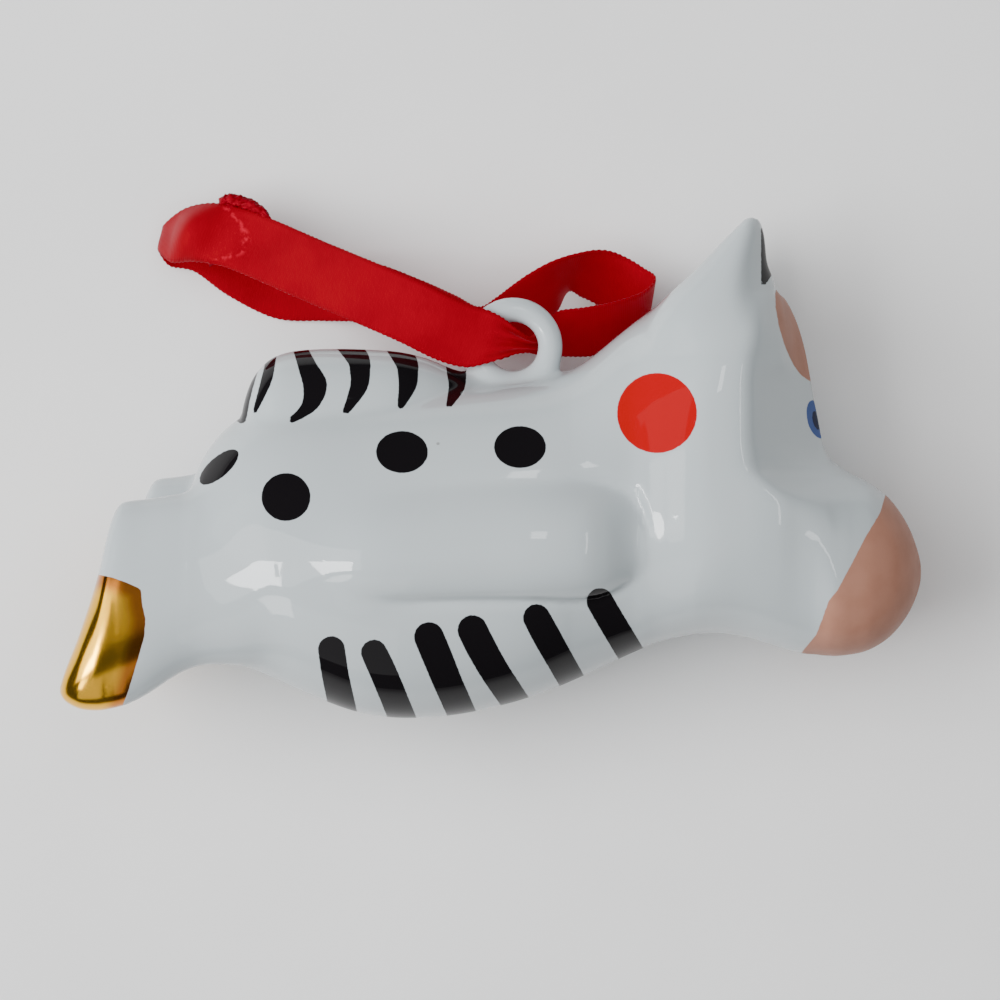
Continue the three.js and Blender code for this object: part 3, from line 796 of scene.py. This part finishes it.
# %% Where the marks are
# dots: centre, half axes and turn in degrees; stripes: x, y and half width
BLACK_DOTS = [
    ((-20.4, -2.95), 2.45, 2.4, 0),
    ((-8.8, 1.55), 2.6, 2.1, 0),
    ((3.0, 2.05), 2.6, 2.1, 0),
    ((-27.1, 0.05), 2.45, 1.0, 41),
]
BELLY_STRIPES = [
    [(-15.85, -18.2, 1.35), (-15.5, -20.55, 1.35), (-15.0, -22.95, 1.35), (-14.2, -26.5, 1.35)],
    [(-11.6, -18.5, 1.3), (-10.8, -20.2, 1.35), (-9.8, -22.55, 1.35), (-8.2, -26.5, 1.35)],
    [(-6.1, -16.95, 1.5), (-5.3, -18.85, 1.5), (-4.15, -21.65, 1.45), (-2.2, -26.0, 1.4)],
    [(-1.75, -16.25, 1.5), (-0.8, -18.15, 1.5), (0.65, -20.65, 1.45), (3.6, -25.0, 1.35)],
    [(4.65, -15.0, 1.35), (5.7, -16.95, 1.4), (7.0, -19.25, 1.35), (9.6, -23.8, 1.3)],
    [(11.0, -13.4, 1.35), (12.25, -15.55, 1.35), (13.9, -18.3, 1.35), (16.0, -21.8, 1.3)],
]
CREST_STRIPES = [
    [(-23.6, 10.6, 0.65), (-24.5, 7.45, 0.65), (-24.85, 4.9, 0.5)],
    [(-21.7, 11.9, 0.5), (-21.95, 10.55, 0.5), (-22.4, 8.6, 0.54), (-23.5, 5.65, 0.22)],
    [(-19.4, 12.9, 0.6), (-18.2, 9.95, 0.95), (-17.5, 8.2, 1.2), (-17.9, 6.5, 0.85),
     (-18.9, 5.4, 0.5), (-19.8, 4.8, 0.35)],
    [(-14.6, 12.6, 1.0), (-13.2, 10.9, 1.1), (-13.0, 9.7, 1.02), (-13.05, 8.35, 0.9),
     (-13.65, 6.95, 0.65), (-14.4, 5.65, 0.34)],
    [(-9.6, 12.4, 1.0), (-8.4, 10.6, 1.1), (-8.2, 9.5, 1.02), (-8.25, 8.25, 0.9),
     (-8.9, 6.2, 0.36)],
    [(-3.5, 11.0, 1.0), (-3.35, 9.55, 0.98), (-3.3, 8.25, 0.82), (-3.6, 7.35, 0.62),
     (-4.1, 6.25, 0.3)],
]
RED_SPOT = ((16.7, 5.45), 4.0, 4.0, 0)
# edges: pairs of height and x, but of x and height for the top of a hoof
MUZZLE_EDGE = [
    (-30.0, 27.0), (-18.35, 31.25), (-16.75, 32.6), (-15.25, 33.2), (-13.25, 33.9), (-12.35, 34.7),
    (-9.75, 36.1), (-6.85, 37.6), (-4.55, 39.0), (-2.45, 39.6), (2.0, 41.0),
]
BROW_EDGE = [
    (7.0, 38.0), (8.6, 32.0), (9.3, 31.0), (10.4, 30.26), (12.05, 29.5), (14.05, 28.9),
    (16.0, 28.55), (17.7, 28.5), (18.3, 29.5), (19.0, 34.0),
]
HOOF_TOP = [
    (-45.0, -9.6), (-39.27, -10.69), (-37.7, -11.02), (-36.37, -11.52), (-34.8, -12.19),
    (-32.0, -13.6),
]
HOOF_SIDE = [
    (-26.0, -37.6), (-22.45, -36.2), (-21.1, -35.8), (-19.15, -35.2), (-16.8, -34.55),
    (-15.2, -34.46), (-13.5, -34.8), (-9.0, -35.2),
]
# a slant turns a distance along x into one square to the edge
MUZZLE_SLANT, MUZZLE_BELOW = 0.87, 3
BROW_SLANT, BROW_ABOVE, BROW_BELOW = 0.8, 7, 19.5
EAR_LEAF_REAR, EAR_LEAF_FRONT, EAR_LEAF_FLARE = 27.1, 27.6, 0.6
EAR_LEAF_FOOT, EAR_LEAF_TOP, EAR_LEAF_POINT = 18.3, 23.95, 0.5
EYE_HEIGHT, EYE_SPREAD = 4.75, 2.75
EYE_HALF_HEIGHT, EYE_HALF_WIDTH = 1.9, 1.6
PUPIL_DROP, PUPIL_TALL, PUPIL_WIDE = 0.1, 0.5, 0.45
FACE_START = 29
MARK_REACH = 3.0
print("marks:", len(BLACK_DOTS), "dots,", len(BELLY_STRIPES) + len(CREST_STRIPES), "stripes")

# %% Marks as distances on the skin
seen = as_seen(skin_points)
seen_x, seen_y = seen.T
height, depth = skin_points[:, 1], np.abs(skin_points[:, 2])
ink = [oval(seen, *dot) for dot in BLACK_DOTS]
ink += [brush_stroke(seen, rows) for rows in BELLY_STRIPES + CREST_STRIPES]
above_foot = seen_y - EAR_LEAF_FOOT
behind_front = EAR_LEAF_FRONT + EAR_LEAF_FLARE * above_foot - seen_x
leaf_ends = [EAR_LEAF_TOP - seen_y, EAR_LEAF_POINT * above_foot]
ear_leaf = np.min([seen_x - EAR_LEAF_REAR, behind_front, *leaf_ends], axis=0)
black = np.max(ink + [ear_leaf], axis=0)
red = oval(seen, *RED_SPOT)

muzzle = MUZZLE_SLANT * (seen_x - np.interp(seen_y, *np.transpose(MUZZLE_EDGE)))
brow = BROW_SLANT * (seen_x - np.interp(seen_y, *np.transpose(BROW_EDGE)))
brow = np.where((height > BROW_ABOVE) & (height < BROW_BELOW), brow, -MARK_REACH)
peach = np.maximum(np.where(height < MUZZLE_BELOW, muzzle, -MARK_REACH), brow)

eye_at = np.stack([height, depth], 1)
off_face = np.where((skin_points[:, 0] > FACE_START) & (height > 0), 0.0, MARK_REACH)
blue = oval(eye_at, (EYE_HEIGHT, EYE_SPREAD), EYE_HALF_HEIGHT, EYE_HALF_WIDTH) - off_face
pupil_centre = (EYE_HEIGHT - PUPIL_DROP, EYE_SPREAD)
pupil_halves = EYE_HALF_HEIGHT * PUPIL_TALL, EYE_HALF_WIDTH * PUPIL_WIDE
pupil = oval(eye_at, pupil_centre, *pupil_halves) - off_face

hoof_seen = seen - np.where(skin_points[:, 2:] < 0, LEFT_HIND_LEG_SHIFT, 0)
hoof_x, hoof_y = hoof_seen.T
gold = np.minimum(
    np.interp(hoof_x, *np.transpose(HOOF_TOP)) - hoof_y,
    np.interp(hoof_y, *np.transpose(HOOF_SIDE)) - hoof_x,
)
painted_marks = dict(black=black, red=red, peach=peach, blue=blue, pupil=pupil, gold=gold)
for mark, values in painted_marks.items():
    layer = skin.data.attributes.new(mark, "FLOAT", "POINT")
    values = np.clip(values, -MARK_REACH, MARK_REACH)
    layer.data.foreach_set("value", values.astype(np.float32))
    print("painted", mark, "on", int((values > 0).sum()), "vertices")

# %% [markdown]
# ## Shader arithmetic
# Finishes are easier to read as sums than as wires, so one small class stands for a socket. Its
# operators add Math nodes, its node method adds any other kind, and the kinds that come up often
# have a method of their own.

# %% Socket arithmetic


class Wire:
    """One output socket of a node tree. Sums and products of wires add Math nodes."""

    def __init__(self, tree, socket=None):
        self.tree, self.socket = tree, socket

    def node(self, kind, settings=None, inputs=None, output=0):
        """Adds a node of a kind: its settings first, then the values or wires of its inputs."""
        made = self.tree.nodes.new(kind)
        for name, value in (settings or {}).items():
            setattr(made, name, value)
        for name, value in (inputs or {}).items():
            if isinstance(value, Wire):
                self.tree.links.new(value.socket, made.inputs[name])
            else:
                made.inputs[name].default_value = value
        return Wire(self.tree, made.outputs[output])

    def math(self, operation, *values):
        """A Math node with its inputs in order."""
        return self.node("ShaderNodeMath", {"operation": operation}, dict(enumerate(values)))

    def __add__(self, other):
        return self.math("ADD", self, other)

    def __sub__(self, other):
        return self.math("SUBTRACT", self, other)

    def __rsub__(self, other):
        return self.math("SUBTRACT", other, self)

    def __mul__(self, other):
        return self.math("MULTIPLY", self, other)

    __radd__, __rmul__ = __add__, __mul__

    def smooth(self, low, high):
        """0 below low and 1 above high, with an S curve between."""
        settings = {"interpolation_type": "SMOOTHSTEP"}
        inputs = {"Value": self, "From Min": low, "From Max": high}
        return self.node("ShaderNodeMapRange", settings, inputs)

    def mix(self, colour, other):
        """This colour at 0 of the wire, the other at 1."""
        inputs = {0: self, 6: colour, 7: other}
        return self.node("ShaderNodeMix", {"data_type": "RGBA"}, inputs, output=2)

    def place(self):
        """The place on the piece, in metres."""
        return self.node("ShaderNodeTexCoord", output=3)

    def attribute(self, name):
        """A value kept on the piece's vertices."""
        return self.node("ShaderNodeAttribute", {"attribute_name": name}, output=2)

    def noise(self, scale, detail):
        """Clouds between 0 and 1 at the places of this wire, scale of them to a metre."""
        inputs = {"Vector": self, "Scale": scale, "Detail": detail}
        return self.node("ShaderNodeTexNoise", None, inputs)

    def bump(self, strength, distance):
        """The normal of a surface that this wire raises, by a distance in metres at 1."""
        inputs = {"Strength": strength, "Distance": distance, "Height": self}
        return self.node("ShaderNodeBump", None, inputs)


def new_material(name):
    """An empty node material: its tree as a wire, its surface shader and the material itself."""
    material = bpy.data.materials.new(name)
    material.use_nodes = True
    return Wire(material.node_tree), material.node_tree.nodes["Principled BSDF"], material


def plug(shader, **values):
    """Sets or links inputs of a shader, named with underscores for spaces."""
    for name, value in values.items():
        socket = shader.inputs[name.replace("_", " ")]
        if isinstance(value, Wire):
            value.tree.links.new(value.socket, socket)
        else:
            socket.default_value = value


# %% [markdown]
# ## The glaze
# Porcelain is a cool white body under a clear, very smooth glaze, which is the shader's coat. The
# colours are fired on and shine less than the white, so the coat is thinner there; the gold is a
# metal film without it. Hand painting leaves edges that waver by a few hundredths of a millimetre
# and a faint relief, and the firing leaves a slow ripple and a few specks.

# %% Glaze material
WHITE = (0.52, 0.573, 0.592, 1)
SHADED_WHITE = (0.495, 0.547, 0.57, 1)
BLACK = (0.006, 0.005, 0.006, 1)
RED = (0.45, 0.003, 0.006, 1)
PEACH = (0.45, 0.22, 0.155, 1)
PEACH_DEEP = (0.41, 0.195, 0.135, 1)
BLUE = (0.055, 0.10, 0.30, 1)
PUPIL = (0.008, 0.012, 0.05, 1)
GOLD = (0.95, 0.51, 0.04, 1)
GOLD_THIN = (0.55, 0.19, 0.03, 1)
SPECK = (0.16, 0.14, 0.13, 1)
WAVER, EDGE_SHARPNESS = 0.09, 0.045


def glaze_material():
    """Fired colours mixed by their signed distances over white porcelain, under a smooth glaze."""
    tree, shader, material = new_material("glazed_porcelain")
    place = tree.place()
    drift = (place.noise(2600, 2) - 0.5) * WAVER
    cloud = place.noise(55, 3)
    spots = tree.node("ShaderNodeTexVoronoi", None, {"Vector": place, "Scale": 95})
    speck = 1 - spots.smooth(0.012, 0.02)
    colour = cloud.smooth(0.35, 0.7).mix(WHITE, SHADED_WHITE)
    colour = (speck * 0.55).mix(colour, SPECK)
    peach = place.noise(420, 4).smooth(0.3, 0.75).mix(PEACH, PEACH_DEEP)
    film = tree.attribute("gold") + 1.2 * (cloud - 0.5)
    gold = film.smooth(0.7, 2.2).mix(GOLD_THIN, GOLD)
    paints = dict(peach=peach, red=RED, black=BLACK, blue=BLUE, pupil=PUPIL, gold=gold)
    marks = {}
    for name, paint in paints.items():
        marks[name] = (tree.attribute(name) + drift).smooth(-EDGE_SHARPNESS, EDGE_SHARPNESS)
        colour = marks[name].mix(colour, paint)
    relief = place.noise(130, 1) * 0.12 + marks["black"] * 0.012 + marks["gold"] * 0.02
    bare = 0.5 * marks["black"] + 0.5 * marks["red"]
    bare = bare + 0.75 * marks["peach"] + 0.75 * marks["blue"] + marks["gold"]
    roughness, normal = 0.1 + 0.12 * cloud, relief.bump(0.18, 0.0004)
    plug(shader, Base_Color=colour, Metallic=marks["gold"], Roughness=roughness, Normal=normal)
    plug(shader, Specular_IOR_Level=0.0, Coat_Weight=1 - bare, Coat_IOR=1.5, Coat_Roughness=0.035)
    return material


skin.data.materials.append(glaze_material())
print("glaze nodes:", len(skin.data.materials[0].node_tree.nodes))

# %% [markdown]
# ## Satin
# Satin floats long threads over its face, so it shines along the ribbon and shows a fine rib
# across it. The weave follows the cloth's own length and width, kept as a UV map in
# millimetres. The sealed ends are the same thread melted together: darker, lumpy and shinier.

# %% Satin material
SATIN = (0.215, 0.0002, 0.006, 1)
SATIN_DEEP = (0.165, 0.0001, 0.005, 1)
SATIN_LIGHT = (0.31, 0.001, 0.013, 1)
PAINTED_PUCKER_HIGHLIGHT = (0.50, 0.006, 0.03, 1)
WARP, WEFT = 52, 27
WOVEN_EDGE = (2.72, 2.86)


def satin_material():
    """Warp threads as waves across the width, weft ribs along the length, a woven edge, glossy
    puckers along the seam with a painted highlight in paler red, and a red glow that paints
    light into the ribbon's shade."""
    tree, shader, material = new_material("red_satin")
    cloth = tree.node("ShaderNodeUVMap", {"uv_map": "cloth"})
    length, width = (
        tree.node("ShaderNodeSeparateXYZ", None, {"Vector": cloth}, output=i) for i in (0, 1)
    )
    warp = tree.math("SINE", width * WARP)
    weft = tree.math("SINE", length * WEFT)
    near_edge = tree.math("ABSOLUTE", width).smooth(*WOVEN_EDGE)
    place = tree.place()
    cloud = place.noise(240, 3)
    colour = cloud.smooth(0.3, 0.72).mix(SATIN, SATIN_DEEP)
    colour = (warp * weft).smooth(0.55, 1.0).mix(colour, SATIN_LIGHT)
    colour = (near_edge * 0.6).mix(colour, SATIN_DEEP)
    near_seam = 1 - tree.attribute("seam").smooth(0.02, 0.2)
    pucker = near_seam * place.noise(1300, 2).smooth(0.48, 0.62)
    # the pale pucker colour is a painted highlight on the crinkles, beside their real bump and
    # gloss
    colour = (pucker * 0.8).mix(colour, PAINTED_PUCKER_HIGHLIGHT)
    threads = warp * 0.35 + weft * 0.5 + near_edge * (weft * 1.2 + 0.8) + pucker * 4
    roughness = 0.4 + 0.14 * cloud + 0.12 * near_edge - 0.15 * pucker
    plug(shader, Base_Color=colour, Roughness=roughness, Normal=threads.bump(0.25, 0.00004))
    plug(shader, Specular_IOR_Level=0.45, Specular_Tint=(1, 0.03, 0.06, 1))
    # the red emission is painted light: a faint glow that lifts the ribbon's shaded side, though
    # the ribbon is no lamp
    plug(shader, Emission_Color=(0.9, 0.0, 0.02, 1), Emission_Strength=0.12)
    plug(shader, Sheen_Weight=0.06, Sheen_Roughness=0.3, Sheen_Tint=(0.9, 0.05, 0.1, 1))
    return material


def sealed_material():
    """Melted satin: deep red with glossy crests and matt hollows."""
    tree, shader, material = new_material("sealed_satin")
    lump = tree.place().noise(1500, 4)
    colour = lump.smooth(0.35, 0.7).mix(SATIN_DEEP, SATIN_LIGHT)
    plug(shader, Base_Color=colour, Roughness=0.18 + 0.3 * lump, Normal=lump.bump(0.6, 0.00015))
    plug(shader, Specular_Tint=(1, 0.05, 0.1, 1))
    return material


ribbon.data.materials.append(satin_material())
sealed_ends.data.materials.append(sealed_material())
print("satin nodes:", len(ribbon.data.materials[0].node_tree.nodes))

# %% [markdown]
# ## Floor and light
# The photograph was taken in a dim room, by a broad light from the left. A glaze shows every lamp
# as a small picture of it, so the light is in two sets. Two broad panels, which the gloss does
# not show, light the surfaces and the pale matt floor. Small panels that only the gloss shows
# give the highlights: a window in two panes above the rump, a lamp, a wall and glows on the gold.

# %% Floor
FLOOR_HALF = 0.6
FLOOR = (0.94, 0.94, 0.94, 1)
FLOOR_MOTTLE = (0.90, 0.90, 0.90, 1)
# the floor turns darker away from the middle: painted shade where the light would fall off, so the
# floor far off throws back less light
FLOOR_PAINTED_SHADE = (0.45, 0.45, 0.45, 1)
PAINTED_SHADE_REACH = (0.08, 0.3)
floor_corners = FLOOR_HALF * np.array([[-1, -1, 0], [1, -1, 0], [1, 1, 0], [-1, 1, 0]], float)
floor = add_mesh("floor", floor_corners, [[0, 1, 2, 3]])
tree, shader, material = new_material("pale_floor")
place = tree.place()
away = tree.node("ShaderNodeVectorMath", {"operation": "LENGTH"}, {0: place}, output=1)
pale = place.noise(30, 6).smooth(0.3, 0.7).mix(FLOOR, FLOOR_MOTTLE)
# the mix paints shade on the floor away from the middle
plug(shader, Base_Color=away.smooth(*PAINTED_SHADE_REACH).mix(pale, FLOOR_PAINTED_SHADE), Roughness=0.7)
floor.data.materials.append(material)
print("floor, m across:", 2 * FLOOR_HALF)

# %% Light
world = bpy.data.worlds.new("dim_room")
world.use_nodes = True
bpy.context.scene.world = world
plug(world.node_tree.nodes["Background"], Color=(0.9, 0.95, 1.0, 1), Strength=0.08)


def panel(name, toward, distance, size, glow, beside=(0, 0, 0), mirrored=True):
    """A rectangular light in a direction from a point of the drawing, facing that point with its
    width along x. Its power is its glow times pi times its area. A mirrored one is only seen in
    the gloss; the others only light the surfaces."""
    data = bpy.data.lights.new(name, "AREA")
    data.shape, data.size, data.size_y = "RECTANGLE", *size
    data.energy = glow * np.pi * size[0] * size[1]
    light = bpy.data.objects.new(name, data)
    back = np.array(toward) / np.linalg.norm(toward)
    wide = np.array([1, 0, 0]) - back[0] * back
    wide /= np.linalg.norm(wide)
    light.location = to_table(beside) + back * distance
    light.rotation_mode = "QUATERNION"
    turned = Matrix(np.column_stack([wide, np.cross(back, wide), back]))
    light.rotation_quaternion = turned.to_quaternion()
    light.visible_glossy, light.visible_diffuse = mirrored, not mirrored
    bpy.context.scene.collection.objects.link(light)


RUMP, HOOF = (-22.5, -12.0, 10.0), (-38.0, -15.0, 8.0)
panel("pale_ceiling", (-0.06, 0.10, 0.99), 0.8, (1.0, 1.0), 1.95, mirrored=False)
panel("bright_side", (-0.74, 0.03, 0.67), 0.74, (0.6, 0.6), 6.9, mirrored=False)
panel("ceiling_glow", (-0.22, -0.10, 0.97), 0.64, (0.28, 0.24), 0.25)
panel("ceiling_lamp", (0.05, 0.29, 0.96), 0.62, (0.05, 0.13), 7.0)
panel("left_wall", (-0.76, 0.05, 0.65), 0.60, (0.2, 0.42), 0.7)
panel("window_upper", (-0.61, -0.24, 0.76), 0.16, (0.032, 0.038), 20, beside=RUMP)
panel("window_lower", (-0.58, -0.52, 0.63), 0.16, (0.034, 0.038), 6, beside=RUMP)
panel("hoof_glow", (-0.64, -0.08, 0.77), 0.12, (0.09, 0.07), 2.3, beside=HOOF)
panel("hoof_low", (-0.2, -0.80, 0.56), 0.12, (0.09, 0.09), 0.7, beside=HOOF)
panel("side_strip", (0.545, 0.06, 0.835), 0.6, (0.03, 0.30), 6)

# %% [markdown]
# ## Fasten the pieces to the model
# The skin stands for all ten castings. The ribbon crosses the joint where the long loop lifts,
# so it is fastened to neither half and keeps its place; the sealed ends lie on the long loop.

# %% Fasten
castings = ["torso", "head", "back_crest", "hanger_ring"]
pairs = ("ear", "foreleg", "hind_leg")
castings += [f"{name}_{side}" for name in pairs for side in ("right", "left")]
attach(skin, "figure")
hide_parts(*castings)
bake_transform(ribbon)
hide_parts("ribbon_long_loop", "ribbon_short_loop")
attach(sealed_ends, "ribbon_long")
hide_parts("ribbon_join")
